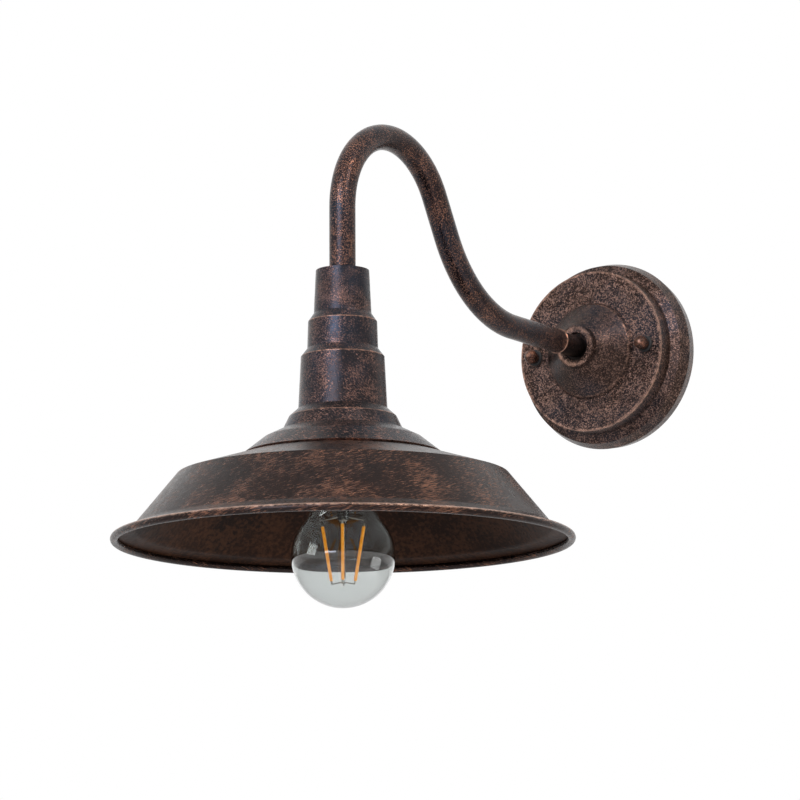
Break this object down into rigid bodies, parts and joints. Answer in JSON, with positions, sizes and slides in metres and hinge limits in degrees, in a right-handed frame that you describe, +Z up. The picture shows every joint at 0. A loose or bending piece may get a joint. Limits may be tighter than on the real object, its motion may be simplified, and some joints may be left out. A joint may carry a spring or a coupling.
{
  "type": "wall light",
  "caption": "Gooseneck wall light: a round wall canopy, a swan-neck tube with a high crook, a stepped cup and a wide spun shade over a clear filament bulb.",
  "frame": {"origin": "the canopy's axis where it meets the wall, at the middle of the fixing strap's back face", "axes": "+Y points into the wall, the light stands out along -Y, +Z is up, +X is the viewer's right when facing the wall"},
  "size_m": [0.2668, 0.4464, 0.2959],
  "materials": {
    "zinc_steel": "zinc plated, satin",
    "brass": "plain brass",
    "earth_insulation": "yellow-green PVC insulation",
    "live_insulation": "brown PVC insulation",
    "neutral_insulation": "blue PVC insulation",
    "white_nylon": "natural nylon",
    "rust_bronze_canopy": "antique rust bronze paint with copper stipple",
    "rust_bronze_arm": "antique rust bronze paint with copper stipple",
    "rust_bronze_cup": "antique rust bronze paint, brushed copper on the steps",
    "rust_bronze_shade": "antique rust bronze paint, dry-brushed copper strokes",
    "bronze_nut": "bronze paint, polished on the crown",
    "dark_coupler": "near-black bronze",
    "black_rubber": "black",
    "black_phenolic": "black moulded phenolic",
    "white_ceramic": "white steatite",
    "clear_glass": "clear blown glass",
    "black_glass": "black glass insert",
    "nickel_cap": "nickel plated",
    "nickel_wire": "nickel wire",
    "solder_tip": "tinned contact",
    "amber_filament": "amber phosphor coating",
    "circuit_board": "green circuit board"
  },
  "bodies": {
    "fixture": {"crossbar": "zinc_steel", "crossbar_studs": "zinc_steel", "stud_nuts": "zinc_steel", "earth_screw": "brass", "earth_lug": "brass", "earth_wire": "earth_insulation", "terminal_block": "white_nylon", "terminal_block_inserts": "brass", "terminal_block_screws": "zinc_steel", "wall_canopy": "rust_bronze_canopy", "canopy_washer": "zinc_steel", "canopy_locknut": "zinc_steel", "canopy_nipple": "zinc_steel", "arm_coupler": "dark_coupler", "gooseneck_arm": "rust_bronze_arm", "arm_end_bush": "zinc_steel", "lamp_nipple": "zinc_steel", "cup_washer": "zinc_steel", "cup_locknut": "zinc_steel", "stepped_cup": "rust_bronze_cup", "shade": "rust_bronze_shade", "shade_ring": "black_phenolic", "holder_locknut": "zinc_steel", "lampholder_cap": "black_phenolic", "lampholder_body": "black_phenolic", "contact_base": "white_ceramic", "centre_contact": "brass", "screw_shell": "brass", "holder_terminals": "brass", "holder_terminal_screws": "zinc_steel", "live_wire": "live_insulation", "neutral_wire": "neutral_insulation"},
    "bulb_carriage": {"bulb_contact": "solder_tip"},
    "bulb": {"bulb_glass": "clear_glass", "bulb_cap": "nickel_cap", "bulb_insulator": "black_glass", "bulb_stem": "clear_glass", "bulb_filaments": "amber_filament", "bulb_leads": "nickel_wire", "bulb_driver": "circuit_board"},
    "washer_right": {"nut_washer_right": "black_rubber"},
    "nut_right": {"ball_nut_right": "bronze_nut"},
    "washer_left": {"nut_washer_left": "black_rubber"},
    "nut_left": {"ball_nut_left": "bronze_nut"}
  },
  "joints": [
    {"name": "bulb_travel", "type": "slide", "parent": "fixture", "child": "bulb_carriage", "axis": [0, 0, -1], "range_m": [0, 0.02]},
    {"name": "bulb_turn", "type": "hinge", "parent": "bulb_carriage", "child": "bulb", "pos_m": [0, -0.313, -0.1656], "axis": [0, 0, -1], "range_deg": [0, 1980]},
    {"name": "nut_right_travel", "type": "slide", "parent": "fixture", "child": "washer_right", "axis": [0, -1, 0], "range_m": [0, 0.0049]},
    {"name": "nut_right_turn", "type": "hinge", "parent": "washer_right", "child": "nut_right", "pos_m": [0.0416, -0.0369, 0], "axis": [0, -1, 0], "range_deg": [0, 2520]},
    {"name": "nut_left_travel", "type": "slide", "parent": "fixture", "child": "washer_left", "axis": [0, -1, 0], "range_m": [0, 0.0049]},
    {"name": "nut_left_turn", "type": "hinge", "parent": "washer_left", "child": "nut_left", "pos_m": [-0.0416, -0.0369, 0], "axis": [0, -1, 0], "range_deg": [0, 2520]}
  ],
  "couplings": [
    {"joint": "bulb_travel", "follows": "bulb_turn", "m_per_rad": 0.00057757},
    {"joint": "nut_right_turn", "follows": "nut_right_travel", "rad_per_m": 8976},
    {"joint": "nut_left_turn", "follows": "nut_left_travel", "rad_per_m": 8976}
  ]
}
